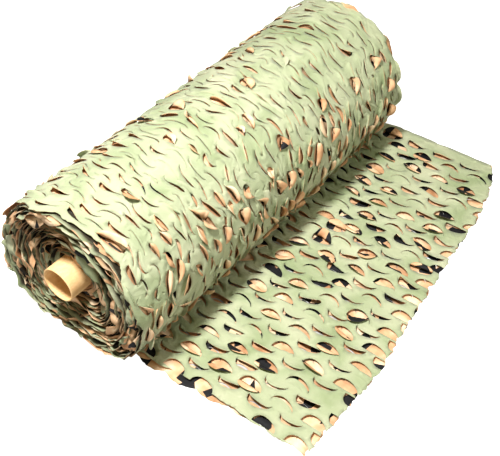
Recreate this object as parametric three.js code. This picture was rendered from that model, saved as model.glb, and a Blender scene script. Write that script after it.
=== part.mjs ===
// A length of leaf-cut camouflage net, wound on a cardboard core tube, with its loose end laid out flat.
//
// Millimetres. +X is the way the loose end is laid, Y is the roll's axis and +Z is up. The origin is on
// the floor, under the roll's axis, at the middle of the roll's length.
//
// The net is one cloth, folded in half along its length, so each turn of the roll and the loose end
// have two layers. The loose end passes under the roll, which rests on it.

import * as THREE from 'three';

// ---- Driving dimensions ----

const rollRadius = 203;
const rollLength = 1000;
const rollAxisHeight = 156;
const outerTurn = 6;
const coreRadius = 41;
const coreWall = 3;
const coreLength = 1054;
const coreRise = 16;
const coreShift = -6;

const clothThickness = 1.4;
const layerGap = 1.8;
const clearance = 0.6;

const cutPitchAlong = 79;
const cutPitchAcross = 58.3;
const lobeHalfLength = 28;
const lobeDepth = 24;
const firstLobeRow = 152;
const firstLobeColumn = -461;

const sheetBack = -124;
const nearEdge = -458;
const farEdge = 562;

// ---- Shared helpers ----

const netGreen = new THREE.MeshStandardMaterial({ color: 0xb9cc9a, roughness: 0.85, metalness: 0 });
const underGreen = new THREE.MeshStandardMaterial({ color: 0xc3d3a4, roughness: 0.85, metalness: 0 });
const kraftBoard = new THREE.MeshStandardMaterial({ color: 0xe2bf8c, roughness: 0.8, metalness: 0 });

// A repeatable scatter between -1 and 1 for each pair of counting numbers.
function scatter(first, second) {
  const wave = Math.sin(first * 127.1 + second * 311.7) * 43758.5453;
  return 2 * (wave - Math.floor(wave)) - 1;
}

function smoothStep(low, high, value) {
  const share = THREE.MathUtils.clamp((value - low) / (high - low), 0, 1);
  return share * share * (3 - 2 * share);
}

class Solid {
  constructor() {
    this.corners = [];
    this.triangles = [];
  }

  point(x, y, z) {
    this.corners.push(x, y, z);
    return this.corners.length / 3 - 1;
  }

  // A polygon as a fan from its first corner, turned over where it faces the other way.
  polygon(corners, turned = false) {
    for (let k = 1; k < corners.length - 1; k += 1) {
      const [second, third] = turned ? [corners[k + 1], corners[k]] : [corners[k], corners[k + 1]];
      this.triangles.push(corners[0], second, third);
    }
  }

  mesh(name, material) {
    const geometry = new THREE.BufferGeometry();
    geometry.setAttribute('position', new THREE.Float32BufferAttribute(this.corners, 3));
    geometry.setIndex(this.triangles);
    geometry.computeVertexNormals();
    const mesh = new THREE.Mesh(geometry, material);
    mesh.name = name;
    return mesh;
  }
}

// ---- Core tube: wound kraft board, open from end to end ----

function coreTube() {
  const bore = coreRadius - coreWall;
  const half = coreLength / 2;
  const chamfer = 0.8;
  const wall = [
    [bore, -half],
    [coreRadius - chamfer, -half],
    [coreRadius, -half + chamfer],
    [coreRadius, half - chamfer],
    [coreRadius - chamfer, half],
    [bore, half],
    [bore, -half],
  ];
  const profile = wall.map(([radius, along]) => new THREE.Vector2(radius, along));
  const mesh = new THREE.Mesh(new THREE.LatheGeometry(profile, 36), kraftBoard);
  mesh.name = 'core_tube';
  mesh.position.set(coreShift, 0, rollAxisHeight + coreRise);
  return mesh;
}

// ---- Wound net: one solid with its leaf relief, pressed-flat underside and spiral ends ----

const turnSteps = 56;
const lengthSteps = 34;
const spiralTurns = 5;
const spiralLines = 2 * spiralTurns - 1;
const ridgeHeight = 6;
const cupDepth = 34;
const leafRise = 4;
const leafSink = 1.5;
const leafLean = 8;
const underside = 2 * clothThickness + layerGap + clearance;

// The direction from the axis at one step: down at step 0, then towards +X, up and over.
function turnDirection(step) {
  const angle = (2 * Math.PI * step) / turnSteps;
  return { x: Math.sin(angle), z: -Math.cos(angle) };
}

// Where the outer wrap lies, with its lumps, its raised leaves and the flat under it.
function wrapPoint(step, row) {
  const way = turnDirection(step);
  const share = row / lengthSteps;
  const isEnd = row === 0 || row === lengthSteps;
  const lump = 1.6 * Math.sin(5 * share + 3 * way.x) + 1.4 * Math.sin(11 * share + 4 * way.z + 1);
  const smooth = rollRadius - outerTurn * (1 - step / turnSteps) + lump;
  const height = rollAxisHeight + smooth * way.z - underside;
  const clear = smoothStep(4, 40, height);
  const raised = (row % 2 === 0) === (step % 4 < 2);
  const leaf = (raised ? leafRise : -leafSink) + 1.5 * scatter(step, row);
  const radius = smooth + (isEnd ? 0.4 : 1) * clear * leaf;
  const lean = raised && !isEnd ? clear * leafLean * (row % 2 === 0 ? 1 : -1) : 0;
  const wobble = isEnd ? 5 * scatter(step, row + 7) * clear : 0;
  return {
    x: radius * way.x,
    y: rollLength * (share - 0.5) + lean + wobble,
    z: Math.max(rollAxisHeight + radius * way.z, underside),
  };
}

// One wound end: coarse spiral ridges in a shallow cup around the core.
function woundEnd(solid, side, innerRing, outerRing) {
  const place = (line, step) => {
    const share = (line / 2 + step / turnSteps) / spiralTurns;
    const inner = new THREE.Vector3().fromArray(solid.corners, 3 * innerRing[step]);
    const outer = new THREE.Vector3().fromArray(solid.corners, 3 * outerRing[step]);
    const fade = Math.min(1, 2 * spiralTurns * share, 2 * spiralTurns * (1 - share));
    const ridge = ridgeHeight * (line % 2 === 0 ? 1 : -1) * fade * (1 + 0.3 * scatter(line, step));
    const spot = inner.lerp(outer, share);
    return solid.point(spot.x, side * (rollLength / 2 - cupDepth * (1 - share) ** 1.5 + ridge), spot.z);
  };
  const lines = [];
  for (let line = 0; line < spiralLines; line += 1) {
    const isFirst = line === 0;
    lines.push(outerRing.map((_, step) => (isFirst && step === 0 ? innerRing[0] : place(line, step))));
  }
  const lastHalfTurn = place(spiralLines, 0);
  // A line that has gone all the way round meets the start of the line two further out.
  const spiral = (line, step) => {
    if (step < turnSteps) return lines[line][step];
    if (line + 2 < spiralLines) return lines[line + 2][0];
    return line + 2 === spiralLines ? lastHalfTurn : outerRing[0];
  };
  const turned = side > 0;
  const last = spiralLines - 1;
  for (let step = 0; step < turnSteps; step += 1) {
    for (let line = 0; line < last; line += 1) {
      const patch = [spiral(line, step), spiral(line + 1, step), spiral(line + 1, step + 1)];
      solid.polygon([...patch, spiral(line, step + 1)], turned);
    }
    if (step === 0) {
      solid.polygon([lines[0][0], lines[0][1], innerRing[1]], turned);
      const rim = [lines[last][1], lines[last][0], lastHalfTurn, outerRing[0], outerRing[1]];
      solid.polygon(rim, turned);
    } else if (step < turnSteps - 1) {
      solid.polygon([innerRing[step], lines[0][step], lines[0][step + 1], innerRing[step + 1]], turned);
      const rim = [lines[last][step], outerRing[step], outerRing[step + 1], lines[last][step + 1]];
      solid.polygon(rim, turned);
    } else {
      const hub = [innerRing[step], lines[0][step], lines[2][0], lines[1][0], innerRing[0]];
      solid.polygon(hub, turned);
      solid.polygon([lines[last][step], outerRing[step], outerRing[0]], turned);
    }
  }
}

function netRoll() {
  const solid = new Solid();
  const steps = Array.from({ length: turnSteps }, (_, step) => step);
  const wrap = [];
  for (let row = 0; row <= lengthSteps; row += 1) {
    wrap.push(steps.map((step) => {
      const spot = wrapPoint(step, row);
      return solid.point(spot.x, spot.y, spot.z);
    }));
  }
  const bore = [-1, 1].map((side) => steps.map((step) => {
    const way = turnDirection(step);
    const radius = coreRadius + clearance;
    const height = rollAxisHeight + coreRise + radius * way.z;
    return solid.point(coreShift + radius * way.x, side * (rollLength / 2 - cupDepth), height);
  }));
  for (const step of steps) {
    const next = (step + 1) % turnSteps;
    for (let row = 0; row < lengthSteps; row += 1) {
      solid.polygon([wrap[row][step], wrap[row + 1][step], wrap[row + 1][next], wrap[row][next]]);
    }
    solid.polygon([bore[0][step], bore[0][next], bore[1][next], bore[1][step]]);
  }
  woundEnd(solid, -1, bore[0], wrap[0]);
  woundEnd(solid, 1, bore[1], wrap[lengthSteps]);
  return solid.mesh('net_roll', netGreen);
}

// ---- Loose end: two layers of cut cloth, folded along the far edge ----

const edgeStep = 24;
const foldReach = 3;
const underReach = 16;

// A spot in the laid cloth's plan, with how far it stands above the cloth around it as its z.
function spotAt(x, y, lift = 0) {
  return new THREE.Vector3(x, y, lift);
}

// The ragged end of the loose net: how far it is laid out at each place across.
const endOutline = [
  { across: -458, along: 572 },
  { across: -305, along: 578 },
  { across: -203, along: 584 },
  { across: -100, along: 570 },
  { across: 60, along: 556 },
  { across: 200, along: 543 },
  { across: 355, along: 534 },
  { across: 457, along: 513 },
  { across: 530, along: 490 },
  { across: 562, along: 468 },
];

function endReach(across) {
  const next = Math.max(1, endOutline.findIndex((row) => row.across >= across));
  const [low, high] = [endOutline[next - 1], endOutline[next]];
  const share = (across - low.across) / (high.across - low.across);
  return THREE.MathUtils.lerp(low.along, high.along, share);
}

// Soft waves of the laid cloth, none under the roll.
function waves(x, y) {
  const free = smoothStep(178, 250, x);
  const swell = 1.6 + 1.6 * Math.sin(x / 61 + y / 83) * Math.sin(y / 97 - x / 140);
  const pinch = 6 * Math.exp(-(((y - 78) / 12) ** 2)) * smoothStep(200, 300, x) * smoothStep(560, 420, x);
  return free * (swell + pinch);
}

// One lobe of an S-shaped leaf cut, as the gap that its curled tongue leaves open.
function lobe(centre, chord, bulge, row, column) {
  const half = lobeHalfLength * (1 + 0.06 * scatter(row, column));
  const depth = lobeDepth * (1 + 0.08 * scatter(column, row + 3));
  const spread = 0.5 + 0.5 * scatter(row + 11, column + 5);
  const cover = bulge > 0 ? 1 + 9 * spread : 10 + 4 * spread;
  const lips = bulge > 0 ? { edge: 2, tongue: 0.5 } : { edge: 0.5, tongue: 4.5 };
  const tilt = 1.5 * scatter(column + 13, row + 17);
  const place = (along, away, lift) => {
    return spotAt(centre + half * along, chord + bulge * (1.5 + away) + tilt * along, lift);
  };
  const ring = [];
  for (const turn of [0, 0.25, 0.5, 0.75, 1]) {
    const reach = Math.sin(Math.PI * turn);
    ring.push(place(Math.cos(Math.PI * turn), depth * reach, lips.edge * reach));
  }
  for (const along of [-0.42, 0.42]) {
    ring.push(place(along, cover, lips.tongue));
  }
  return ring;
}

function lobes(isUnder) {
  const rings = [];
  for (let row = 0; row < 11; row += 1) {
    const bulge = row % 2 === 0 ? 1 : -1;
    const centre = firstLobeRow + (row * cutPitchAlong) / 2;
    for (let column = 0; column < 18; column += 1) {
      const chord = firstLobeColumn + column * cutPitchAcross;
      const reach = endReach(chord) - lobeHalfLength - 8;
      const tip = chord + bulge * (lobeDepth + 6);
      const inside = centre < reach && Math.min(chord, tip) > nearEdge + 6 && tip < farEdge - 8;
      const wanted = isUnder ? bulge < 0 && column % 2 === 1 : true;
      if (inside && wanted) rings.push(lobe(centre, chord, bulge, row, column));
    }
  }
  return rings;
}

// The outline of one layer, anticlockwise from the back corner at the near edge. The far edge is
// the same for both layers, because the fold joins them there.
function layerOutline(isUnder) {
  const near = isUnder ? nearEdge - underReach : nearEdge;
  const outline = [spotAt(sheetBack, near)];
  const corner = endReach(nearEdge);
  for (let x = sheetBack + edgeStep; x < corner - edgeStep / 2; x += edgeStep) {
    const count = Math.round(x / edgeStep);
    const leaf = isUnder ? 9 * Math.cos((2 * Math.PI * x) / cutPitchAlong) : 4 * scatter(count, 2);
    const free = smoothStep(120, 170, x);
    outline.push(spotAt(x, near + (leaf + 3 * scatter(count, 5)) * Math.max(free, 0.3)));
  }
  const endCount = Math.round((farEdge - nearEdge) / edgeStep);
  for (let count = 0; count < endCount; count += 1) {
    const y = THREE.MathUtils.lerp(nearEdge, farEdge, count / endCount);
    const leaf = 5 * scatter(count, isUnder ? 21 : 20) + 4 * Math.cos((2 * Math.PI * y) / cutPitchAcross);
    outline.push(spotAt(endReach(y) + leaf - (isUnder ? 5 : 0), y + 3 * scatter(count, 31)));
  }
  const foldStart = outline.length;
  const farCount = Math.round((endReach(farEdge) - sheetBack) / edgeStep);
  for (let count = 0; count <= farCount; count += 1) {
    const x = THREE.MathUtils.lerp(endReach(farEdge), sheetBack, count / farCount);
    outline.push(spotAt(x, farEdge + 4 * Math.sin(x / 23) + 3 * scatter(count, 41)));
  }
  return { outline, foldStart };
}

// One layer of cloth with its gaps. Its walls stop at the fold, where the other layer joins on.
function clothLayer(solid, isUnder) {
  const { outline, foldStart } = layerOutline(isUnder);
  const holes = lobes(isUnder).map((ring) => {
    return THREE.ShapeUtils.isClockWise(ring) ? ring : [...ring].reverse();
  });
  const faces = THREE.ShapeUtils.triangulateShape(outline, holes);
  const spots = [outline, ...holes].flat();
  const bottom = ({ x, y, z }) => {
    if (isUnder) return 0;
    return clothThickness + layerGap + waves(x, y) + z * smoothStep(165, 215, x);
  };
  const lower = spots.map((spot) => solid.point(spot.x, spot.y, bottom(spot)));
  const upper = spots.map((spot) => solid.point(spot.x, spot.y, bottom(spot) + clothThickness));
  for (const [a, b, c] of faces) {
    const turned = THREE.ShapeUtils.area([spots[a], spots[b], spots[c]]) < 0;
    solid.polygon([upper[a], upper[b], upper[c]], turned);
    solid.polygon([lower[a], lower[b], lower[c]], !turned);
  }
  const wall = (from, to) => solid.polygon([lower[from], lower[to], upper[to], upper[from]]);
  for (let k = 0; k < outline.length; k += 1) {
    const isFold = k >= foldStart && k < outline.length - 1;
    if (!isFold) wall(k, (k + 1) % outline.length);
  }
  let start = outline.length;
  for (const ring of holes) {
    ring.forEach((_, k) => wall(start + k, start + ((k + 1) % ring.length)));
    start += ring.length;
  }
  const fold = outline.map((_, k) => k).slice(foldStart);
  return { upper: fold.map((k) => upper[k]), lower: fold.map((k) => lower[k]) };
}

// The bend that joins the two layers, from the top layer's edge round to the under layer's.
function foldBend(solid, top, under) {
  const bend = (from, to, reach) => {
    const [high, low] = [from, to].map((corner) => new THREE.Vector3().fromArray(solid.corners, 3 * corner));
    const between = [0.25, 0.75].map((share) => {
      const spot = high.clone().lerp(low, share);
      return solid.point(spot.x, spot.y + reach, spot.z);
    });
    return [from, ...between, to];
  };
  const outer = top.upper.map((corner, k) => bend(corner, under.lower[k], foldReach));
  const inner = top.lower.map((corner, k) => bend(corner, under.upper[k], foldReach - clothThickness));
  const last = outer.length - 1;
  for (let m = 0; m < 3; m += 1) {
    for (let k = 0; k < last; k += 1) {
      solid.polygon([outer[k][m + 1], outer[k + 1][m + 1], outer[k + 1][m], outer[k][m]]);
      solid.polygon([inner[k][m], inner[k + 1][m], inner[k + 1][m + 1], inner[k][m + 1]]);
    }
    solid.polygon([outer[0][m + 1], outer[0][m], inner[0][m], inner[0][m + 1]]);
    solid.polygon([outer[last][m], outer[last][m + 1], inner[last][m + 1], inner[last][m]]);
  }
}

function netLooseEnd() {
  const solid = new Solid();
  const top = clothLayer(solid, false);
  const under = clothLayer(solid, true);
  foldBend(solid, top, under);
  return solid.mesh('net_loose_end', underGreen);
}

const camouflageNet = new THREE.Group();
camouflageNet.add(coreTube(), netRoll(), netLooseEnd());

export default camouflageNet;
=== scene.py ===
import math

import bpy
import numpy as np
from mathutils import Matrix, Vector
from mathutils.geometry import delaunay_2d_cdt


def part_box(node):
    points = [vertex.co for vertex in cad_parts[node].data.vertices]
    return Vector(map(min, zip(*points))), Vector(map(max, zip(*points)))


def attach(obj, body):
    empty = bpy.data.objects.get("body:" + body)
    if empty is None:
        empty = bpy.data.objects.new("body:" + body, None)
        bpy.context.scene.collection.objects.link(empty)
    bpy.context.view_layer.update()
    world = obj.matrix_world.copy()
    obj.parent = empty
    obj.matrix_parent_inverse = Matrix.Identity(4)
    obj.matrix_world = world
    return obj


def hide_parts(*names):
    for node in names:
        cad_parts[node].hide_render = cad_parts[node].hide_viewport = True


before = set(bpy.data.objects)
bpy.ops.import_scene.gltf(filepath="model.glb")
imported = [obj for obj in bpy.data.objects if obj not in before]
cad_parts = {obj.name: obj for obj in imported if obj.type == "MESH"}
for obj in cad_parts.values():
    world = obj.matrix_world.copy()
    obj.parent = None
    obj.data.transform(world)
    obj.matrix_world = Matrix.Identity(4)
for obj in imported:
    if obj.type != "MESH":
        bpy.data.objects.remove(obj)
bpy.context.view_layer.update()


# ---------------------------------------------------------------------------
# Camera: a three-quarter view from above, over the near end of the roll.
# ---------------------------------------------------------------------------
camera_place = Vector((1.0405, -1.2558, 1.4943))
camera_target = Vector((0.1955, -0.1388, 0.1557))
camera_lens = 62.79
camera_sensor = 36.0

camera_data = bpy.data.cameras.new("camera")
camera_data.sensor_width = camera_sensor
camera_data.lens = camera_lens
camera_data.clip_start = 0.05
camera = bpy.data.objects.new("camera", camera_data)
bpy.context.scene.collection.objects.link(camera)
camera.location = camera_place
camera.rotation_euler = (camera_target - camera_place).to_track_quat("-Z", "Y").to_euler()
bpy.context.scene.camera = camera


# ---------------------------------------------------------------------------
# Core tube: unbleached kraft paper wound on the skew into a stiff tube and cut
# square. Its outer ply shows a butt seam that climbs round it, and its cut
# ends show the plies.
# ---------------------------------------------------------------------------
tube_low, tube_high = (Vector(corner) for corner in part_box("core_tube"))
tube_radius = (tube_high.z - tube_low.z) / 2
tube_wall = 0.003
tube_centre_x = (tube_low.x + tube_high.x) / 2
tube_centre_z = (tube_low.z + tube_high.z) / 2
tube_sides = 96
tube_rings = 240
bore_rings = 12
seam_pitch = 0.115
seam_half_width = 0.0012
seam_depth = 0.0005


def new_material(name):
    """An empty node material with its surface shader and output, for a section to fill."""
    material = bpy.data.materials.new(name)
    material.use_nodes = True
    nodes = material.node_tree.nodes
    shader = nodes["Principled BSDF"]
    return material, material.node_tree, shader


def add_node(tree, kind, **settings):
    """Adds a node. The dict inputs gives its sockets' values; other names are its own settings."""
    node = tree.nodes.new(kind)
    inputs = settings.pop("inputs", {})
    for name, value in settings.items():
        setattr(node, name, value)
    for name, value in inputs.items():
        node.inputs[name].default_value = value
    return node


def link(tree, source, target):
    """Joins a node's output to another node's input."""
    tree.links.new(source, target)


def ramp(tree, source, stops):
    """A colour by its (place, colour) stops, from the value of another node's output."""
    node = tree.nodes.new("ShaderNodeValToRGB")
    elements = node.color_ramp.elements
    while len(elements) > 1:
        elements.remove(elements[-1])
    elements[0].position = stops[0][0]
    elements[0].color = (*stops[0][1], 1.0)
    for place, colour in stops[1:]:
        elements.new(place).color = (*colour, 1.0)
    link(tree, source, node.inputs["Fac"])
    return node.outputs["Color"]


def mesh_piece(name, points, faces, material_list, uv=None):
    """A mesh object from arrays of points and faces, linked into the scene."""
    mesh = bpy.data.meshes.new(name)
    mesh.from_pydata([tuple(p) for p in points], [], [tuple(f) for f in faces])
    for material in material_list:
        mesh.materials.append(material)
    if uv is not None:
        layer = mesh.uv_layers.new(name="UVMap")
        corner_points = np.empty(len(mesh.loops), dtype=np.int32)
        mesh.loops.foreach_get("vertex_index", corner_points)
        layer.data.foreach_set("uv", np.asarray(uv, dtype=np.float32)[corner_points].ravel())
    piece = bpy.data.objects.new(name, mesh)
    bpy.context.scene.collection.objects.link(piece)
    return piece


def kraft_material():
    """Kraft board: warm, matt paper with fibre flecks drawn out along the tube."""
    material, tree, shader = new_material("kraft_board")
    place = add_node(tree, "ShaderNodeTexCoord")
    fibre_inputs = {"Scale": 60.0, "Detail": 6.0, "Roughness": 0.65}
    fibres = add_node(tree, "ShaderNodeTexNoise", inputs=fibre_inputs)
    stretch = add_node(tree, "ShaderNodeMapping", inputs={"Scale": (3.0, 1.6, 3.0)})
    link(tree, place.outputs["Object"], stretch.inputs["Vector"])
    link(tree, stretch.outputs["Vector"], fibres.inputs["Vector"])
    tone = ramp(tree, fibres.outputs["Fac"], [
        (0.2, (0.74, 0.44, 0.2)),
        (0.5, (0.84, 0.56, 0.28)),
        (0.8, (0.9, 0.65, 0.36)),
    ])
    link(tree, tone, shader.inputs["Base Color"])
    bump = add_node(tree, "ShaderNodeBump", inputs={"Strength": 0.25, "Distance": 0.0006})
    link(tree, fibres.outputs["Fac"], bump.inputs["Height"])
    link(tree, bump.outputs["Normal"], shader.inputs["Normal"])
    shader.inputs["Roughness"].default_value = 0.72
    return material


def ring_faces(rings, sides):
    """The four-sided faces between closed rings of points, the last of which joins the first."""
    faces = []
    for ring in range(rings):
        after = (ring + 1) % rings
        for side in range(sides):
            beside = (side + 1) % sides
            faces.append((
                ring * sides + side,
                after * sides + side,
                after * sides + beside,
                ring * sides + beside,
            ))
    return faces


def core_tube():
    """The tube's wall as rings along its profile, with the seam pressed in as a shallow groove."""
    half = (tube_high.y - tube_low.y) / 2
    bore = tube_radius - tube_wall
    lip = 0.0005
    outer_rows = np.linspace(-half + lip, half - lip, tube_rings)
    profile = [(bore, -half + lip), (bore + lip, -half), (tube_radius - lip, -half)]
    profile += [(tube_radius, row) for row in outer_rows]
    profile += [(tube_radius - lip, half), (bore + lip, half), (bore, half - lip)]
    profile += [(bore, row) for row in np.linspace(half - lip, -half + lip, bore_rings)[1:-1]]
    angles = np.linspace(0, 2 * math.pi, tube_sides, endpoint=False)
    points = []
    for radius, along in profile:
        turn = 2 * math.pi * along / seam_pitch
        offset = (angles - turn + math.pi) % (2 * math.pi) - math.pi
        groove = np.exp(-((offset * seam_pitch / (2 * math.pi) / seam_half_width) ** 2))
        on_outside = 1.0 if radius > tube_radius - 1e-6 else 0.0
        radii = radius - seam_depth * on_outside * groove
        points += [
            (tube_centre_x + r * math.sin(a), along, tube_centre_z + r * math.cos(a))
            for r, a in zip(radii, angles)
        ]
    faces = ring_faces(len(profile), tube_sides)
    tube = mesh_piece("core_tube_board", points, faces, [kraft_material()])
    tube.data.polygons.foreach_set("use_smooth", [True] * len(faces))
    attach(tube, "root")
    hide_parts("core_tube")


core_tube()


# ---------------------------------------------------------------------------
# Net cloth: thin woven polyester, sage green on its face and tan on its back,
# slit all over with staggered leaf cuts. Each cut frees a tongue that stays on
# by its straight side, and gapes, folds back or folds under.
# ---------------------------------------------------------------------------
cloth_thickness = 0.0004
thread_scale = 300.0
crumple_scale = 55.0
fold_scale = 34.0
fold_height = 1.6
thread_height = 0.12
painted_root_shade = (0.03, 0.022, 0.008, 1.0)
chip_black = (0.014, 0.014, 0.016, 1.0)
cut_pitch_along = 0.079
cut_pitch_across = 0.0583
lobe_half = 0.028
lobe_depth = 0.0235
chord_shift = 0.003
arc_power = 0.85
arc_skew = -0.22
lip_width = 0.009

# The columns of a table of lobes, and of a table of how their tongues lie.
at_centre, at_chord, at_bulge, at_half, at_depth = range(5)
drawn_back, fold_line, fold_slant, bend_radius, bend_angle = range(5)


def math_node(tree, operation, *values):
    """What a math node gives, from values that are numbers or other nodes' outputs."""
    node = add_node(tree, "ShaderNodeMath", operation=operation)
    for socket, value in zip(node.inputs, values):
        if isinstance(value, bpy.types.NodeSocket):
            link(tree, value, socket)
        else:
            socket.default_value = value
    return node.outputs[0]


def on_cloth(tree, kind, **settings):
    """Adds a node that works on the cloth's own coordinates, in metres along and across it."""
    place = add_node(tree, "ShaderNodeUVMap", uv_map="UVMap")
    node = add_node(tree, kind, **settings)
    link(tree, place.outputs["UV"], node.inputs["Vector"])
    return node


def weave_group():
    """Shared by the cloth's face and back: plain weave, creases and soft crumpling, as a height,
    and the crumpling alone, as painted shade for the face's colour, darker in the crumples'
    hollows."""
    group = bpy.data.node_groups.new("net_weave", "ShaderNodeTree")
    for label in ("Thread Scale", "Crumple Scale"):
        group.interface.new_socket(label, in_out="INPUT", socket_type="NodeSocketFloat")
    for label in ("Height", "Painted Crumple Shade"):
        group.interface.new_socket(label, in_out="OUTPUT", socket_type="NodeSocketFloat")
    entry = group.nodes.new("NodeGroupInput")
    result = group.nodes.new("NodeGroupOutput")
    place = add_node(group, "ShaderNodeUVMap", uv_map="UVMap")
    threads = []
    for way in ("X", "Y"):
        wave = on_cloth(group, "ShaderNodeTexWave", wave_type="BANDS", bands_direction=way)
        link(group, entry.outputs["Thread Scale"], wave.inputs["Scale"])
        threads.append(wave.outputs["Fac"])
    weave = math_node(group, "MULTIPLY", *threads)
    crumple = on_cloth(group, "ShaderNodeTexNoise", noise_type="RIDGED_MULTIFRACTAL")
    crumple.inputs["Detail"].default_value = 3.0
    crumple.inputs["Roughness"].default_value = 0.5
    link(group, entry.outputs["Crumple Scale"], crumple.inputs["Scale"])
    facet = add_node(group, "ShaderNodeTexVoronoi", feature="DISTANCE_TO_EDGE")
    facet.inputs["Scale"].default_value = fold_scale
    wobble = on_cloth(group, "ShaderNodeTexNoise", inputs={"Scale": 22.0, "Detail": 2.0})
    bend_uv = add_node(group, "ShaderNodeVectorMath", operation="MULTIPLY_ADD")
    link(group, wobble.outputs["Color"], bend_uv.inputs[0])
    bend_uv.inputs[1].default_value = (0.03, 0.03, 0.0)
    link(group, place.outputs["UV"], bend_uv.inputs[2])
    link(group, bend_uv.outputs["Vector"], facet.inputs["Vector"])
    tone = crumple.outputs["Fac"]
    folds = math_node(group, "MULTIPLY_ADD", facet.outputs["Distance"], fold_height, tone)
    height = math_node(group, "MULTIPLY_ADD", weave, thread_height, folds)
    link(group, height, result.inputs["Height"])
    link(group, tone, result.inputs["Painted Crumple Shade"])
    return group


net_weave = weave_group()


def weave_on(tree, shader, strength):
    """Places the shared weave in a material and feeds its height to the surface."""
    weave = add_node(tree, "ShaderNodeGroup", node_tree=net_weave)
    weave.inputs["Thread Scale"].default_value = thread_scale
    weave.inputs["Crumple Scale"].default_value = crumple_scale
    bump = add_node(tree, "ShaderNodeBump", inputs={"Strength": strength, "Distance": 0.003})
    link(tree, weave.outputs["Height"], bump.inputs["Height"])
    link(tree, bump.outputs["Normal"], shader.inputs["Normal"])
    return weave


def paint_shade_by_depth(tree, source):
    """Painted shade: darkens a colour towards the root of an edge strip, deep between the turns
    where they shade each other. The strip's second UV value runs from its root out."""
    parts = on_cloth(tree, "ShaderNodeSeparateXYZ")
    depth = add_node(tree, "ShaderNodeMapRange", inputs={"From Min": 0.029, "From Max": 0.0405})
    link(tree, parts.outputs["Y"], depth.inputs["Value"])
    mix = add_node(tree, "ShaderNodeMix", data_type="RGBA")
    link(tree, depth.outputs["Result"], mix.inputs["Factor"])
    # Painted shade: dark brown at the strip's root, fading to the cloth's own colour at its edge.
    mix.inputs["A"].default_value = painted_root_shade
    link(tree, source, mix.inputs["B"])
    return mix.outputs["Result"]


def face_material(name, paint_strip_shade=False):
    """The green face: sage, drifting to a yellower and a deeper green in broad soft patches, with
    painted shade in the hollows of its crumples, and on an end strip painted shade towards its
    root.
    """
    material, tree, shader = new_material(name)
    weave = weave_on(tree, shader, 0.9)
    drift_inputs = {"Scale": 9.0, "Detail": 3.0, "Distortion": 0.6}
    drift = on_cloth(tree, "ShaderNodeTexNoise", inputs=drift_inputs)
    tone = ramp(tree, drift.outputs["Fac"], [
        (0.32, (0.37, 0.425, 0.245)),
        (0.5, (0.49, 0.525, 0.345)),
        (0.68, (0.6, 0.605, 0.43)),
    ])
    # Painted shade: the face darkens in the crumples' hollows, by the same crumpling that bumps it.
    painted_crumple_shade = add_node(tree, "ShaderNodeMix", data_type="RGBA", blend_type="MULTIPLY")
    painted_crumple_shade.inputs["Factor"].default_value = 0.6
    link(tree, tone, painted_crumple_shade.inputs["A"])
    crumple_shade_stops = [(0.3, (0.72, 0.75, 0.68)), (0.6, (1.0, 1.0, 1.0))]
    link(tree, ramp(tree, weave.outputs["Painted Crumple Shade"], crumple_shade_stops), painted_crumple_shade.inputs["B"])
    colour = painted_crumple_shade.outputs["Result"]
    if paint_strip_shade:
        colour = paint_shade_by_depth(tree, colour)
    link(tree, colour, shader.inputs["Base Color"])
    shader.inputs["Roughness"].default_value = 0.62
    shader.inputs["Specular IOR Level"].default_value = 0.35
    shader.inputs["Sheen Weight"].default_value = 0.15
    return material


def back_material(name, dark_share, paint_strip_shade=False):
    """The tan back: pale tan with browner drifts, and near-black chips over dark_share of it, and
    on an end strip painted shade towards its root.
    """
    material, tree, shader = new_material(name)
    weave_on(tree, shader, 0.35)
    drift = on_cloth(tree, "ShaderNodeTexNoise", inputs={"Scale": 16.0, "Detail": 3.0})
    tone = ramp(tree, drift.outputs["Fac"], [
        (0.3, (0.42, 0.21, 0.1)),
        (0.5, (0.68, 0.43, 0.25)),
        (0.68, (0.88, 0.7, 0.5)),
    ])
    chip_inputs = {"Scale": 36.0, "Randomness": 1.0}
    chip = add_node(tree, "ShaderNodeTexVoronoi", feature="F1", inputs=chip_inputs)
    shift = on_cloth(tree, "ShaderNodeMapping")
    shift.inputs["Location"].default_value = (0.21, 0.13, 0.0)
    shift.inputs["Rotation"].default_value = (0.0, 0.0, 0.6)
    shift.inputs["Scale"].default_value = (1.0, 0.7, 1.0)
    link(tree, shift.outputs["Vector"], chip.inputs["Vector"])
    lot = add_node(tree, "ShaderNodeSeparateColor")
    link(tree, chip.outputs["Color"], lot.inputs["Color"])
    chips = math_node(tree, "LESS_THAN", lot.outputs["Red"], dark_share)
    mix = add_node(tree, "ShaderNodeMix", data_type="RGBA")
    link(tree, chips, mix.inputs["Factor"])
    link(tree, tone, mix.inputs["A"])
    mix.inputs["B"].default_value = chip_black
    colour = mix.outputs["Result"]
    if paint_strip_shade:
        colour = paint_shade_by_depth(tree, colour)
    link(tree, colour, shader.inputs["Base Color"])
    shader.inputs["Roughness"].default_value = 0.66
    shader.inputs["Specular IOR Level"].default_value = 0.3
    return material


net_green = face_material("net_face_green")
net_tan_blotched = back_material("net_back_blotched", dark_share=0.3)
net_tan = back_material("net_back_tan", dark_share=0.025)


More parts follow.
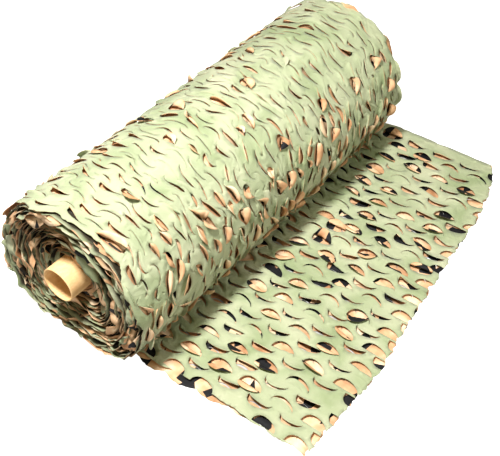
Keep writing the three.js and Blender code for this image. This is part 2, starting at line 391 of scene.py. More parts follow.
def lobe_grid(along_range, across_range):
    """The leaf cuts' half-round lobes over a stretch of cloth: two for each repeat, bulging to
    opposite sides and half a repeat apart. Each has its centre along the cloth, where its straight
    side lies across it, the side it bulges to, half its length and its depth."""
    rng = np.random.default_rng(7)
    rows = []
    first = math.floor(along_range[0] / cut_pitch_along) - 1
    last = math.ceil(along_range[1] / cut_pitch_along) + 1
    columns = range(
        math.floor(across_range[0] / cut_pitch_across) - 1,
        math.ceil(across_range[1] / cut_pitch_across) + 2,
    )
    for repeat in range(first, last + 1):
        for column in columns:
            for bulge in (1, -1):
                centre = (repeat + (0.5 if bulge < 0 else 0.0)) * cut_pitch_along
                chord = column * cut_pitch_across + bulge * chord_shift
                rows.append((
                    centre + rng.normal(0, 0.0012),
                    chord + rng.normal(0, 0.0008),
                    bulge,
                    lobe_half * rng.uniform(0.94, 1.08),
                    lobe_depth * rng.uniform(0.88, 1.1),
                ))
    return np.array(rows)


def sort_lobes(lobes, outline, margin=0.003):
    """Splits the lobes into those wholly on the cloth, and those that run over its edge."""
    keep = np.ones(len(lobes), dtype=bool)
    some = np.zeros(len(lobes), dtype=bool)
    rim_spots = ((-1.0, 0.0), (0.0, 0.0), (1.0, 0.0), (-0.6, 0.9), (0.0, 1.1), (0.6, 0.9))
    for along, away in rim_spots:
        off_chord = away * lobes[:, at_depth] - margin * (away == 0)
        spots = np.column_stack([
            lobes[:, at_centre] + along * (lobes[:, at_half] + margin),
            lobes[:, at_chord] + lobes[:, at_bulge] * off_chord,
        ])
        inside = inside_outline(spots, outline)
        keep &= inside
        some |= inside
    return lobes[keep], lobes[some & ~keep]


def lobe_reach(along, half, depth):
    """How far a lobe's cut stands off its straight side, at a place along it."""
    share = np.clip(along / half, -1, 1)
    return depth * (1 - share**2) ** (arc_power / 2) * (1 + arc_skew * share)


def inside_outline(points, outline):
    """Which points lie inside a closed outline."""
    inside = np.zeros(len(points), dtype=bool)
    x, y = points[:, 0], points[:, 1]
    for (x0, y0), (x1, y1) in zip(outline, np.roll(outline, -1, axis=0)):
        crosses = (y0 > y) != (y1 > y)
        if y0 != y1:
            inside ^= crosses & (x < (x1 - x0) * (y - y0) / (y1 - y0) + x0)
    return inside


def corner_cross(points, faces):
    """Each triangle's cross product: along its normal, and twice its area long."""
    span = points[faces]
    return np.cross(span[:, 1] - span[:, 0], span[:, 2] - span[:, 0])


def cut_cloth(outline, lobes, bites, web_step, tongue_step, arc_count=13, chord_count=7):
    """Cuts a flat cloth: triangles inside the outline, with each tongue split from the cloth along
    its lobe and left joined along its straight side. Bites are lobes that run over the cloth's edge
    and are gone. The steps are the distances between points on the cloth and on its tongues.
    Returns the flat points, the triangles, each point's tongue (or -1), and its place along and
    away from that tongue's straight side."""
    whole_count = len(lobes)
    lobes = np.vstack([lobes, bites])
    rng = np.random.default_rng(11)
    low, high = outline.min(axis=0), outline.max(axis=0)
    points = [tuple(p) for p in outline]
    edges = [(k, (k + 1) % len(outline)) for k in range(len(outline))]
    turn = np.linspace(0, math.pi, arc_count)
    for centre, chord, bulge, half, depth in lobes:
        along = -half * np.cos(turn)
        arc = np.column_stack([centre + along, chord + bulge * lobe_reach(along, half, depth)])
        start = len(points)
        points += [tuple(p) for p in arc]
        edges += [(start + k, start + k + 1) for k in range(arc_count - 1)]
        across = np.linspace(-half, half, chord_count + 2)[1:-1]
        chord_line = np.column_stack([centre + across, np.full(chord_count, chord)])
        line_start = len(points)
        points += [tuple(p) for p in chord_line]
        run = [start, *range(line_start, line_start + chord_count), start + arc_count - 1]
        edges += list(zip(run[:-1], run[1:]))
        grid_a, grid_d = np.meshgrid(
            np.arange(-half, half, tongue_step), np.arange(tongue_step * 0.8, depth, tongue_step)
        )
        grid_a = (grid_a + tongue_step / 2 * (np.round(grid_d / tongue_step) % 2)).ravel()
        grid_d = grid_d.ravel()
        room = lobe_reach(grid_a, half, depth) - grid_d > tongue_step * 0.45
        room &= np.abs(grid_a) < half * 0.9
        points += [
            (centre + a, chord + bulge * d) for a, d in zip(grid_a[room], grid_d[room])
        ]
    row_step = web_step * 0.87
    grid_u, grid_v = np.meshgrid(
        np.arange(low[0], high[0], web_step), np.arange(low[1], high[1], row_step)
    )
    grid_u = grid_u + web_step / 2 * (np.round((grid_v - low[1]) / row_step) % 2)
    web = np.column_stack([grid_u.ravel(), grid_v.ravel()])
    web += rng.normal(0, web_step * 0.08, web.shape)
    free = np.ones(len(web), dtype=bool)
    for centre, chord, bulge, half, depth in lobes:
        near = np.abs(web[:, 0] - centre) < half * 1.2
        near &= np.abs(web[:, 1] - chord) < depth * 1.6
        near = np.nonzero(near)[0]
        along, away = web[near, 0] - centre, bulge * (web[near, 1] - chord)
        reach = lobe_reach(along, half, depth)
        blocked = (away > -web_step * 0.4) & (away < reach + web_step * 0.42)
        blocked &= np.abs(along) < half + web_step * 0.3
        free[near[blocked]] = False
    web = web[free]
    web = web[inside_outline(web, outline)]
    points += [tuple(p) for p in web]
    flat, _, faces, *_ = delaunay_2d_cdt([Vector(p) for p in points], edges, [], 0, 1e-7, False)
    flat = np.array([tuple(p) for p in flat])
    faces = np.array(faces, dtype=np.int64)
    middle = flat[faces].mean(axis=1)
    area = np.abs(corner_cross(flat, faces)) / 2
    keep = inside_outline(middle, outline) & (area > 1e-10)
    faces, middle = faces[keep], middle[keep]
    owner = np.full(len(faces), -1)
    for k, (centre, chord, bulge, half, depth) in enumerate(lobes):
        along, away = middle[:, 0] - centre, bulge * (middle[:, 1] - chord)
        within = (np.abs(along) < half) & (away > 0)
        within &= away < lobe_reach(along, half, depth)
        owner[within] = k
    faces, owner = faces[owner < whole_count], owner[owner < whole_count]
    corner_owner = np.repeat(owner, 3)
    corner_point = faces.ravel().copy()
    picked = corner_owner >= 0
    lobe = lobes[corner_owner]
    away = lobe[:, at_bulge] * (flat[corner_point, 1] - lobe[:, at_chord])
    picked &= away > 0.0004
    keys = corner_owner[picked] * len(flat) + corner_point[picked]
    unique, back = np.unique(keys, return_inverse=True)
    added = flat[unique % len(flat)]
    corner_point[picked] = len(flat) + back
    tongue = np.concatenate([np.full(len(flat), -1), unique // len(flat)])
    flat = np.vstack([flat, added])
    used, renumbered = np.unique(corner_point, return_inverse=True)
    flat, tongue = flat[used], tongue[used]
    faces = renumbered.reshape(-1, 3)
    turned = corner_cross(flat, faces) < 0
    faces[turned] = faces[turned][:, ::-1]
    along, away = np.zeros(len(flat)), np.zeros(len(flat))
    on = tongue >= 0
    mine = lobes[tongue[on]]
    along[on] = flat[on, 0] - mine[:, at_centre]
    away[on] = mine[:, at_bulge] * (flat[on, 1] - mine[:, at_chord])
    return flat, faces, tongue, along, away


def bend(distance, radius, angle):
    """How far forward and up a strip has gone, a distance past the line where it starts to bend."""
    sense, size = np.sign(angle), np.maximum(np.abs(angle), 1e-4)
    arc = np.minimum(distance, radius * size)
    rest = distance - arc
    forward = radius * np.sin(arc / radius) + rest * np.cos(size)
    up = sense * (radius * (1 - np.cos(arc / radius)) + rest * np.sin(size))
    return forward, up


def open_leaves(flat, tongue, along, away, lobes, state):
    """Moves each tongue: drawn back to a share of its depth, then bent along a slanting line at
    some distance from its straight side. Returns the flat points as moved, and each point's height
    off the cloth."""
    moved, height = flat.copy(), np.zeros(len(flat))
    on = tongue >= 0
    mine, how = lobes[tongue[on]], state[tongue[on]]
    a = along[on]
    d = away[on] * how[:, drawn_back]
    slant = how[:, fold_slant]
    length = np.sqrt(1 + slant**2)
    beyond = (d - how[:, fold_line] - slant * a) / length
    past = np.where(beyond > 0, beyond, 0.0)
    forward, up = bend(past, how[:, bend_radius], how[:, bend_angle])
    shift = forward - past
    a = a - slant / length * shift
    d = d + shift / length
    moved[on, 0] = mine[:, at_centre] + a
    moved[on, 1] = mine[:, at_chord] + mine[:, at_bulge] * d
    height[on] = up
    return moved, height


def lip_lift(flat, tongue, lobes, lift):
    """The cloth beside each cut stands up a little, most at the middle of the cut."""
    height = np.zeros(len(flat))
    web = np.nonzero(tongue < 0)[0]
    for (centre, chord, bulge, half, depth), rise in zip(lobes, lift):
        close = np.abs(flat[web, 0] - centre) < half * 1.3
        close &= np.abs(flat[web, 1] - chord) < depth * 2.2
        near = web[close]
        along = flat[near, 0] - centre
        gap = bulge * (flat[near, 1] - chord) - lobe_reach(along, half, depth)
        fade = -((along / (half * 0.7)) ** 2) - (np.maximum(gap, 0) / lip_width) ** 2
        height[near] += rise * np.exp(fade) * (gap > -0.002)
    return height


def two_sided(name, points, faces, uv, front, back):
    """A cloth of real thickness: its face, its back and the rim round every edge and cut."""
    points = np.asarray(points)
    count = len(points)
    normal = corner_cross(points, faces)
    point_normal = np.zeros_like(points)
    for corner in range(3):
        np.add.at(point_normal, faces[:, corner], normal)
    point_normal /= np.maximum(np.linalg.norm(point_normal, axis=1, keepdims=True), 1e-12)
    all_points = np.vstack([points, points - cloth_thickness * point_normal])
    half_edges = np.vstack([faces[:, [0, 1]], faces[:, [1, 2]], faces[:, [2, 0]]])
    keys = half_edges[:, 0] * count + half_edges[:, 1]
    twins = half_edges[:, 1] * count + half_edges[:, 0]
    rim = half_edges[~np.isin(keys, twins)]
    back_faces = faces[:, ::-1] + count
    rim_faces = np.column_stack([rim[:, 1], rim[:, 0], rim[:, 0] + count, rim[:, 1] + count])
    all_faces = [*faces.tolist(), *back_faces.tolist(), *rim_faces.tolist()]
    piece = mesh_piece(name, all_points, all_faces, [front, back], np.vstack([uv, uv]))
    polygons = piece.data.polygons
    slots = np.concatenate([np.zeros(len(faces)), np.ones(len(faces) + len(rim))]).astype(np.int32)
    smooth = np.concatenate([np.ones(2 * len(faces)), np.zeros(len(rim))]).astype(bool)
    polygons.foreach_set("material_index", slots)
    polygons.foreach_set("use_smooth", smooth)
    piece.data.update()
    return piece


# ---------------------------------------------------------------------------
# Loose end: the last stretch of the net, folded in half along its length and
# laid on the floor. One cloth runs over the top, round the fold at the far
# edge and back underneath, so the under layer shows its tan back in the gaps.
# ---------------------------------------------------------------------------
loose_back = -0.124
near_edge = -0.458
far_edge = 0.562
laid_width = far_edge - near_edge
under_reach = 0.016
top_height = 0.0088
under_height = 0.0012
fold_radius = (top_height - under_height) / 2
pressed_share = 0.45
press_end = 0.13
press_fade = 0.06
lowest_level = 0.0005
fold_margin = 0.034
first_cut = 0.09
first_row = 0.152
first_column = -0.461

# Places across the loose end, and how far it is laid out there, in metres.
end_outline = [
    (-0.48, 0.572),
    (-0.458, 0.572),
    (-0.305, 0.578),
    (-0.203, 0.584),
    (-0.1, 0.570),
    (0.06, 0.556),
    (0.2, 0.543),
    (0.355, 0.534),
    (0.457, 0.513),
    (0.53, 0.490),
    (0.562, 0.468),
    (0.6, 0.45),
]


def end_reach(across):
    """How far the loose end is laid out, at any place across."""
    table = np.array(end_outline)
    return np.interp(across, table[:, 0], table[:, 1])


def laid_place(flat, height):
    """Lays the flat cloth: over the top, round the fold and back under. It is pressed thin under
    the roll and lies in soft waves beyond. Height is off its face."""
    u, v = flat[:, 0], flat[:, 1]
    round_fold = math.pi * fold_radius
    turn = np.clip((v - laid_width) / fold_radius, 0, math.pi)
    under = v > laid_width + round_fold
    under_y = far_edge - (v - laid_width - round_fold)
    y = np.where(under, under_y, near_edge + np.minimum(v, laid_width))
    press = np.clip((u - press_end) / press_fade, 0, 1)
    press = pressed_share + (1 - pressed_share) * press * press * (3 - 2 * press)
    middle = (top_height + under_height) / 2
    level = (middle + fold_radius * np.cos(turn) + height * np.cos(turn)) * press
    y = y + np.where(under, 0.0, fold_radius * np.sin(turn) + height * np.sin(turn))
    free = np.clip((u - 0.15) / 0.1, 0, 1)
    swell = 0.0014 * (1 + np.sin(11 * u + 7 * y) * np.sin(9 * y - 6 * u))
    pinch_room = np.clip((u - 0.2) / 0.1, 0, 1) * np.clip((0.54 - u) / 0.1, 0, 1)
    pinch = 0.006 * np.exp(-(((y - 0.078) / 0.011) ** 2)) * pinch_room
    level = level + free * (swell + pinch) * np.where(under, 0.35, 1.0)
    return np.column_stack([u, y, np.maximum(level, lowest_level)])


def loose_outline():
    """The flat cloth's edge: ragged along both long edges and the end, where cuts run out of it."""
    rng = np.random.default_rng(5)
    full = 2 * laid_width + math.pi * fold_radius + under_reach
    step = 0.006
    near_u = np.arange(loose_back, end_reach(near_edge), step)
    leaf = np.abs(np.sin(math.pi * near_u / cut_pitch_along))
    top_edge = 0.004 * rng.normal(0, 1, len(near_u)).cumsum()
    top_edge = top_edge - np.linspace(top_edge[0], top_edge[-1], len(near_u))
    top_edge = np.clip(top_edge * 0.25, -0.006, 0.006) - 0.006 * leaf**0.6 + 0.003
    end_v = np.arange(0.003, full - 0.003, step)
    across = np.where(end_v < laid_width, near_edge + end_v, far_edge - (end_v - laid_width))
    ripple = 0.006 * np.abs(np.sin(math.pi * end_v / cut_pitch_across)) ** 0.7
    jag = rng.normal(0, 0.0016, len(end_v))
    end_u = end_reach(across) - 0.003 + ripple + jag - np.where(end_v > laid_width, 0.003, 0.0)
    showing = 1 - np.clip((near_u - 0.24) / 0.2, 0, 1)
    leaf = np.abs(np.sin(math.pi * near_u / cut_pitch_along + 0.6)) ** 0.7
    under_edge = full - 0.022 + 0.014 * showing + 0.014 * leaf * (0.4 + 0.6 * showing)
    under_edge += rng.normal(0, 0.0008, len(near_u))
    sides = [
        np.column_stack([near_u, top_edge]),
        np.column_stack([end_u, end_v]),
        np.column_stack([near_u, under_edge])[::-1],
    ]
    return np.vstack(sides)


def draw_folds(state, some, rng, drawn, line, slant):
    """Draws by lot how far some tongues are drawn back, and where and on what slant they fold."""
    number = some.sum()
    state[some, drawn_back] = rng.uniform(*drawn, number)
    state[some, fold_line] = rng.uniform(*line, number) * lobe_depth
    state[some, fold_slant] = rng.normal(0, slant, number)


def leaf_states(lobes, rng, shares, raised):
    """How each tongue lies, drawn by lot. Shares are how many are folded back over the cloth, so
    that their tan back shows, and how many are folded under it, so that their place is open. The
    rest gape as crescents, with the tip standing up by about the angle raised, in radians."""
    count = len(lobes)
    state = np.zeros((count, 5))
    draw = rng.random(count)
    back = draw < shares[0]
    open_wide = ~back & (draw < shares[0] + shares[1])
    draw_folds(state, np.full(count, True), rng, drawn=(0.74, 0.96), line=(0.0, 0.5), slant=0.22)
    state[:, bend_radius] = rng.uniform(0.0015, 0.005, count)
    state[:, bend_angle] = rng.normal(1.0, 0.6, count) * raised
    draw_folds(state, back, rng, drawn=(0.85, 1.0), line=(-0.02, 0.22), slant=0.2)
    state[back, bend_radius] = rng.uniform(0.0012, 0.003, back.sum())
    state[back, bend_angle] = rng.uniform(2.3, 3.0, back.sum())
    draw_folds(state, open_wide, rng, drawn=(0.9, 1.0), line=(0.0, 0.28), slant=0.22)
    state[open_wide, bend_radius] = 0.0016
    state[open_wide, bend_angle] = -rng.uniform(2.85, 3.05, open_wide.sum())
    return state


def gaping(state):
    """Which tongues only gape, and are folded neither back nor under."""
    return np.abs(state[:, bend_angle]) < 1.6


def loose_end():
    """The laid cloth. Its cuts start at the roll's front and keep off the fold, the tongues that
    bulge to the far side are folded back or under more often, and its under layer lies flatter."""
    rng = np.random.default_rng(21)
    outline = loose_outline()
    lobes = lobe_grid((0.06, outline[:, 0].max()), (0.0, outline[:, 1].max()))
    lobes[:, at_chord] += first_column - near_edge
    lobes[:, at_centre] += first_row - 2 * cut_pitch_along
    room = lobes[:, at_centre] - lobes[:, at_half] > first_cut
    room &= np.abs(lobes[:, at_chord] - laid_width - fold_radius) > fold_margin
    lobes, bites = sort_lobes(lobes[room], outline)
    bites = bites[(rng.random(len(bites)) < 0.75) & (bites[:, at_chord] < laid_width)]
    steps = (0.013, 0.0046)
    flat, faces, tongue, along, away = cut_cloth(outline, lobes, bites, *steps)
    far_side = leaf_states(lobes, rng, shares=(0.38, 0.28), raised=0.35)
    near_side = leaf_states(lobes, rng, shares=(0.06, 0.08), raised=0.65)
    state = np.where(lobes[:, [at_bulge]] > 0, far_side, near_side)
    under = lobes[:, at_chord] > laid_width
    state[~under & gaping(state), drawn_back] *= 0.8
    state[under, fold_line] = 0.3 * lobe_depth
    state[under, bend_radius] = 0.01
    state[under, bend_angle] = rng.normal(-0.1, 0.1, under.sum())
    moved, height = open_leaves(flat, tongue, along, away, lobes, state)
    lift = np.where(under, 0.0, rng.uniform(0.0, 0.0035, len(lobes)))
    height += lip_lift(flat, tongue, lobes, lift)
    points = laid_place(moved, height)
    cloth = two_sided("loose_end_cloth", points, faces, flat, net_green, net_tan_blotched)
    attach(cloth, "root")
    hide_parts("net_loose_end")


loose_end()


# ---------------------------------------------------------------------------
# Outer turn of the roll: the folded net's two layers, wound tight and bunched.
# The outer layer shows its green face, and the layer under it shows its tan
# back through the gaps. The roll's weight presses its underside flat.
# ---------------------------------------------------------------------------
roll_low = Vector(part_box("net_roll")[0])
roll_half = 0.5
roll_axis_height = 0.156
roll_underside = roll_low.z + 0.0006
turn_repeats = 16
wrap_radius = turn_repeats * cut_pitch_along / (2 * math.pi)
turn_length = 2 * math.pi * wrap_radius
second_sink = 0.0085
front_sink_share = 0.5
bunching = 0.6
deepest_leaf = -0.0024
highest_leaf = 0.02


def wrap_lump(angle, across):
    """The wound net is uneven: slow swells, and sharp little pleats where it bunches up."""
    swell = 0.0018 * np.sin(5 * across + 2 * np.sin(angle))
    swell = swell + 0.0014 * np.sin(11 * across - 3 * np.cos(angle))
    wander = 3 * np.sin(2 * angle + 4 * across) + 2 * np.sin(5 * angle - 9 * across)
    pleat = 0.0009 * (1 - 2 * np.abs(np.sin(52 * across + wander)))
    return swell + pleat * (0.5 + 0.5 * np.sin(7 * angle + 13 * across))


def bunch(flat):
    """The cloth isn't wound straight: its pattern drifts by some millimetres here and there."""
    u, v = flat[:, 0], flat[:, 1]
    along = 0.006 * np.sin(23 * v + 9 * u) + 0.004 * np.sin(47 * v - 31 * u)
    along = along + 0.0022 * np.sin(90 * u + 71 * v)
    across = 0.007 * np.sin(19 * u - 13 * v) + 0.0045 * np.sin(41 * u + 37 * v)
    across = across + 0.002 * np.sin(97 * v - 60 * u)
    still_at_ends = np.sin(math.pi * u / turn_length)
    return flat + np.column_stack([along * still_at_ends, across])


def front_share(angle):
    """How far round towards the low front of the roll a place is: 0 on its top, 1 down there. The
    angle is 0 straight down, a quarter turn at the front and a half turn at the top."""
    return np.clip((2.7 - angle) / 0.9, 0, 1)


def wrap_place(flat, height, sink):
    """Winds the flat cloth round the roll. The cloth runs from under the roll up its back, over
    its top and down its front. Height is off its face, away from the axis. A sunk layer lies
    closer to the outer one down the front."""
    angle = 2 * math.pi - flat[:, 0] / wrap_radius
    across = flat[:, 1] - roll_half
    sink = sink * (1 - front_sink_share * front_share(angle))
    radius = wrap_radius - sink + wrap_lump(angle, across) + height
    level = roll_axis_height - radius * np.cos(angle)
    lowest = roll_underside + 0.002 - sink * 0.2
    return np.column_stack([radius * np.sin(angle), across, np.maximum(level, lowest)])


def turn_outline(rng):
    """One turn's flat outline: straight where it goes on under the roll, ragged at its edges."""
    along = np.arange(0.0, turn_length + 0.001, 0.0065)
    edges = []
    for phase in (0.0, 1.1):
        drift = rng.normal(0, 1, len(along)).cumsum()
        drift -= np.linspace(drift[0], drift[-1], len(along))
        drift = np.clip(0.0012 * drift, -0.008, 0.008)
        scallop = np.abs(np.sin(math.pi * along / cut_pitch_along + phase)) ** 0.6
        leaf = (along / cut_pitch_along + phase / math.pi).astype(int)
        depth = rng.uniform(0.002, 0.018, 20)[leaf]
        edges.append(drift + depth * scallop + rng.normal(0, 0.0009, len(along)) - 0.004)
    near = np.column_stack([along, -edges[0]])
    far = np.column_stack([along, 2 * roll_half + edges[1]])
    return np.vstack([near, far[::-1]])


def wrap_states(lobes, rng, raised, back_share):
    """How the tongues of one layer of the roll lie. Many more of them are folded back or open
    down the roll's front, where winding drags them over. Those folded back are pulled long."""
    angle = 2 * math.pi - lobes[:, at_centre] / wrap_radius
    calm = leaf_states(lobes, rng, (back_share, 0.06), raised)
    turned = leaf_states(lobes, rng, (back_share + 0.5, 0.25), raised)
    state = np.where((rng.random(len(lobes)) < front_share(angle))[:, None], turned, calm)
    gapes = gaping(state)
    state[gapes, drawn_back] = rng.uniform(0.68, 0.9, gapes.sum())
    folded = state[:, bend_angle] > 2
    draw_folds(state, folded, rng, drawn=(1.2, 1.75), line=(0.0, 0.4), slant=0.4)
    return state


def roll_layer(name, sink, seed, sides, raised, back_share, steps):
    """One layer of the roll's outer turn at its own depth. Sides are its outer and inner materials,
    and steps the distances between points on the cloth and on its tongues."""
    rng = np.random.default_rng(seed)
    outline = turn_outline(rng)
    lobes = lobe_grid((0.0, turn_length), (0.0, 2 * roll_half / bunching))
    lobes[:, at_chord] = bunching * (lobes[:, at_chord] + rng.uniform(0, cut_pitch_across))
    lobes[:, at_depth] *= bunching
    lobes[:, at_centre] += rng.uniform(0, cut_pitch_along)
    lobes[:, at_centre] += rng.normal(0, 0.0022, len(lobes))
    lobes[:, at_half] *= rng.uniform(0.74, 1.06, len(lobes))
    lobes[:, at_depth] *= rng.uniform(0.66, 1.1, len(lobes))
    lobes, bites = sort_lobes(lobes, outline)
    off_ends = np.abs(bites[:, at_centre] - turn_length / 2) < turn_length / 2 - 0.04
    bites = bites[(rng.random(len(bites)) < 0.6) & off_ends]
    flat, faces, tongue, along, away = cut_cloth(outline, lobes, bites, *steps)
    state = wrap_states(lobes, rng, raised, back_share)
    moved, height = open_leaves(flat, tongue, along, away, lobes, state)
    height = np.clip(height, deepest_leaf, highest_leaf)
    points = wrap_place(bunch(moved), height, sink)
    uv = flat + np.array([1.3, 2.7 + seed])
    cloth = two_sided(name, points, faces, uv, *sides)
    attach(cloth, "root")
    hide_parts("net_roll")


roll_layer(
    "outer_turn", sink=0.0, seed=31, sides=(net_green, net_tan),
    raised=0.75, back_share=0.1, steps=(0.0105, 0.0046),
)
roll_layer(
    "turn_beneath", sink=second_sink, seed=32, sides=(net_tan, net_green),
    raised=0.1, back_share=0.1, steps=(0.016, 0.006),
)


# ---------------------------------------------------------------------------
# Wound net: the turns inside the outer one, as one body whose ends are dished
# a little around the core, and, at each end, the edges of every turn as a
# spiral of the folded net's two layers, with leaves that stand out and bend over.
# ---------------------------------------------------------------------------
wound_sink = 0.0125
end_sink = 0.0065
end_step = 0.006
turn_gap = 0.0056
layer_gap = 0.0024
steps_a_turn = 720
strip_width = 0.036
large_share = 0.15
leaf_bend_radius = 0.007
cup_depth = 0.034
core_gap = 0.0012


def section_place(angle, share, sink):
    """A place in the roll's cross-section: share 0 is on the core, 1 lies under the outer turn."""
    hub = tube_radius + core_gap
    inner_x = tube_centre_x + hub * np.sin(angle)
    inner_z = tube_centre_z - hub * np.cos(angle)
    rim = wrap_radius - sink
    outer_x = rim * np.sin(angle)
    outer_z = np.maximum(roll_axis_height - rim * np.cos(angle), roll_underside + 0.006)
    return inner_x + (outer_x - inner_x) * share, inner_z + (outer_z - inner_z) * share


def cup(share):
    """How far the wound net's end is dished in, from the core out to the rim."""
    return cup_depth * (1 - np.clip(share, 0, 1)) ** 1.5


def wound_body():
    """The inner turns as one closed body, a little short of the roll's ends."""
    sides, rows, rings = 160, 60, 10
    angles = np.linspace(0, 2 * math.pi, sides, endpoint=False)
    end = roll_half - strip_width * 0.75
    profile = [(share, -end + cup(share)) for share in np.linspace(0, 1, rings)]
    profile += [(1.0, y) for y in np.linspace(profile[-1][1], -profile[-1][1], rows)[1:-1]]
    profile += [(share, end - cup(share)) for share in np.linspace(1, 0, rings)]
    points = []
    for share, y in profile:
        x, z = section_place(angles, share, wound_sink)
        points += list(zip(x, np.full(sides, y), z))
    faces = [(a, d, c, b) for a, b, c, d in ring_faces(len(profile), sides)]
    uv = [(p[0] * 3 + p[2], p[1] + p[2]) for p in points]
    body = mesh_piece("wound_net", points, faces, [net_tan_blotched], uv)
    body.data.polygons.foreach_set("use_smooth", [True] * len(faces))
    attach(body, "root")
    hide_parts("net_roll")


def spiral_line():
    """Even steps along the wound cloth: its angle, its share of the way out, its length so far."""
    rim = wrap_radius - end_sink
    turns = (rim - tube_radius - core_gap) / turn_gap
    angles = np.linspace(0, 2 * math.pi * turns, int(turns * steps_a_turn))
    share = angles / angles[-1]
    x, z = section_place(angles, share, end_sink)
    run = np.concatenate([[0], np.hypot(np.diff(x), np.diff(z)).cumsum()])
    even = np.arange(0, run[-1], end_step)
    return np.interp(even, run, angles), np.interp(even, run, share), even


def soft_noise(rng, run, spacing, size):
    """A smooth wander along a line, with a new value every so often."""
    knots = np.arange(0, run[-1] + 2 * spacing, spacing)
    values = rng.normal(0, size, len(knots))
    share = (run / spacing) % 1
    index = (run / spacing).astype(int)
    ease = share * share * (3 - 2 * share)
    return values[index] * (1 - ease) + values[index + 1] * ease


def end_turns(side, name, seed):
    """The edges of every turn at one end, for both layers of the folded cloth: strips with leaves
    of their own lengths that reach out of the roll. The long ones lean over, the rest hardly."""
    rng = np.random.default_rng(seed)
    angle, share, run = spiral_line()
    rows = np.array([0.0, 0.018, 0.027, 0.034, 0.041, 0.05])
    sheets = []
    for layer in (0, 1):
        leaf = run / cut_pitch_along + rng.uniform(0, 1) + 0.5 * layer
        index, phase = leaf.astype(int), leaf % 1
        hump = np.sin(math.pi * phase) ** 0.55
        kinds = rng.random(index.max() + 2)
        small = rng.uniform(0.0, 0.007, len(kinds))
        large = rng.uniform(0.015, 0.029, len(kinds))
        is_large = kinds < large_share
        extent = np.where(is_large, large, small)
        outward_share = 0.68 if layer == 0 else 0.32
        sense = np.where(rng.random(len(kinds)) < outward_share, 1, -1)
        far_over = rng.uniform(1.0, 1.9, len(kinds))
        slightly = rng.uniform(0.0, 0.35, len(kinds))
        lean = np.where(is_large, far_over, slightly) * sense
        reach = extent[index] * hump
        angle_bent = lean[index] * np.sqrt(hump)
        base = soft_noise(rng, run, 0.16, 0.0055) + soft_noise(rng, run, 0.017, 0.0028)
        ripple = soft_noise(rng, run, 0.022, 0.0016)
        x, z = section_place(angle, share, end_sink)
        out_x, out_z = np.sin(angle), -np.cos(angle)
        points, uv = [], []
        for row in rows:
            across = row / rows[-1] * (strip_width + reach)
            straight = np.minimum(across, strip_width - 0.004)
            forward, up = bend(across - straight, leaf_bend_radius, angle_bent)
            fade = np.clip(across / strip_width, 0, 1)
            offset = up + ripple * fade**2 - layer * layer_gap
            y = roll_half - cup(share) - strip_width + straight + forward + base
            level = np.maximum(z + offset * out_z, roll_underside)
            points.append(np.column_stack([x + offset * out_x, side * y, level]))
            uv.append(np.column_stack([run + 40 * layer, across]))
        count = len(run)
        grid = np.arange(len(rows) * count).reshape(len(rows), count)
        corners = [grid[:-1, :-1], grid[:-1, 1:], grid[1:, 1:], grid[1:, :-1]]
        quads = np.stack(corners, axis=-1).reshape(-1, 4)
        faces = np.vstack([quads[:, [0, 1, 2]], quads[:, [0, 2, 3]]])
        outward = (side > 0) == (layer == 0)
        faces = faces[:, ::-1] if outward else faces
        faces = faces + layer * len(rows) * count
        sheets.append((np.vstack(points), faces, np.vstack(uv)))
    points, faces, uv = (np.vstack(both_layers) for both_layers in zip(*sheets))
    turns = two_sided(name, points, faces, uv, net_green_painted_shade, net_tan_painted_shade)
    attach(turns, "root")
    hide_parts("net_roll")


# Shaded copies of the cloth's materials for the wound ends, with painted shade deep between the
# turns.
net_green_painted_shade = face_material("net_face_wound_painted_shade", paint_strip_shade=True)
net_tan_painted_shade = back_material("net_back_wound_painted_shade", dark_share=0.12, paint_strip_shade=True)
wound_body()
end_turns(-1, "wound_end_near", seed=41)
end_turns(1, "wound_end_far", seed=42)


# ---------------------------------------------------------------------------
# Studio: a pale floor, one small light high over the roll's near end, a broad
# weaker one beyond the loose end, and an even, warm surround.
# ---------------------------------------------------------------------------
floor_glow = 0.8
surround_colour = (1.0, 0.93, 0.66, 1.0)
surround_light = 0.28
surround_seen = 1.07
shadow_inset = 0.01


def area_light(name, place, target, size, power):
    """A square light of some size in metres and power in watts, turned towards its target."""
    data = bpy.data.lights.new(name, "AREA")
    data.size = size
    data.energy = power
    lamp = bpy.data.objects.new(name, data)
    bpy.context.scene.collection.objects.link(lamp)
    lamp.location = place
    lamp.rotation_euler = (Vector(target) - Vector(place)).to_track_quat("-Z", "Y").to_euler()


def camera_only(tree, strength):
    """A light that only the camera sees, so that white stays white and nothing else is lit."""
    path = add_node(tree, "ShaderNodeLightPath")
    return math_node(tree, "MULTIPLY", path.outputs["Is Camera Ray"], strength)


def within(tree, source, low, high):
    """A mask that is 1 where a value lies between two others."""
    return math_node(tree, "COMPARE", source, (low + high) / 2, (high - low) / 2)


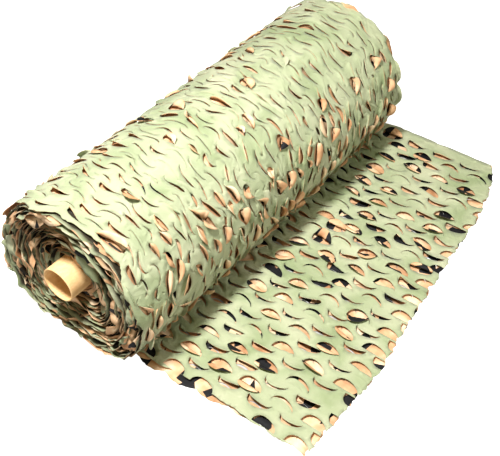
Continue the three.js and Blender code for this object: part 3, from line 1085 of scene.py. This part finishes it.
def beside_object(tree):
    """A mask that is 0 on the floor under the object and 1 beside it. The loose end's own end runs
    on a slant, so its edge is taken on X with Y's slant added."""
    place = add_node(tree, "ShaderNodeNewGeometry")
    parts = add_node(tree, "ShaderNodeSeparateXYZ")
    link(tree, place.outputs["Position"], parts.inputs["Vector"])
    x, y = parts.outputs["X"], parts.outputs["Y"]
    slant = (end_reach(near_edge) - end_reach(far_edge)) / (far_edge - near_edge)
    skewed = math_node(tree, "MULTIPLY_ADD", y, slant, x)
    end = end_reach(near_edge) + slant * near_edge - shadow_inset
    before_end = within(tree, skewed, -1.0, end)
    past_back = within(tree, x, loose_back, 1.0)
    between_edges = within(tree, y, near_edge + shadow_inset, far_edge - shadow_inset)
    under_sheet = math_node(tree, "MULTIPLY", before_end, past_back)
    under_sheet = math_node(tree, "MULTIPLY", under_sheet, between_edges)
    below_roll = within(tree, x, -0.12, 0.13)
    along_roll = within(tree, y, 0.002 - roll_half, roll_half)
    under_roll = math_node(tree, "MULTIPLY", below_roll, along_roll)
    under_either = math_node(tree, "MAXIMUM", under_sheet, under_roll)
    return math_node(tree, "SUBTRACT", 1.0, under_either)


def studio():
    """The floor, the surround, the picture's contrast and the two lights."""
    corners = [(-9, -9, 0), (9, -9, 0), (9, 9, 0), (-9, 9, 0)]
    material, tree, shader = new_material("floor_pale")
    shader.inputs["Base Color"].default_value = (0.5, 0.5, 0.5, 1.0)
    shader.inputs["Roughness"].default_value = 0.9
    shader.inputs["Emission Color"].default_value = (1.0, 1.0, 1.0, 1.0)
    glow = math_node(tree, "MULTIPLY", camera_only(tree, floor_glow), beside_object(tree))
    link(tree, glow, shader.inputs["Emission Strength"])
    mesh_piece("floor", corners, [(0, 1, 2, 3)], [material])
    world = bpy.data.worlds.new("surround")
    world.use_nodes = True
    sky = world.node_tree
    background = sky.nodes["Background"]
    background.inputs["Color"].default_value = surround_colour
    strength = math_node(sky, "ADD", camera_only(sky, surround_seen), surround_light)
    link(sky, strength, background.inputs["Strength"])
    bpy.context.scene.world = world
    bpy.context.scene.view_settings.view_transform = "Standard"
    bpy.context.scene.view_settings.look = "Medium High Contrast"
    area_light("key", (0.12, -0.8, 2.1), target=(0.1, -0.05, 0.2), size=0.28, power=68)
    area_light("fill", (2.2, 0.3, 1.4), target=(0.1, 0.0, 0.1), size=1.5, power=19)


studio()
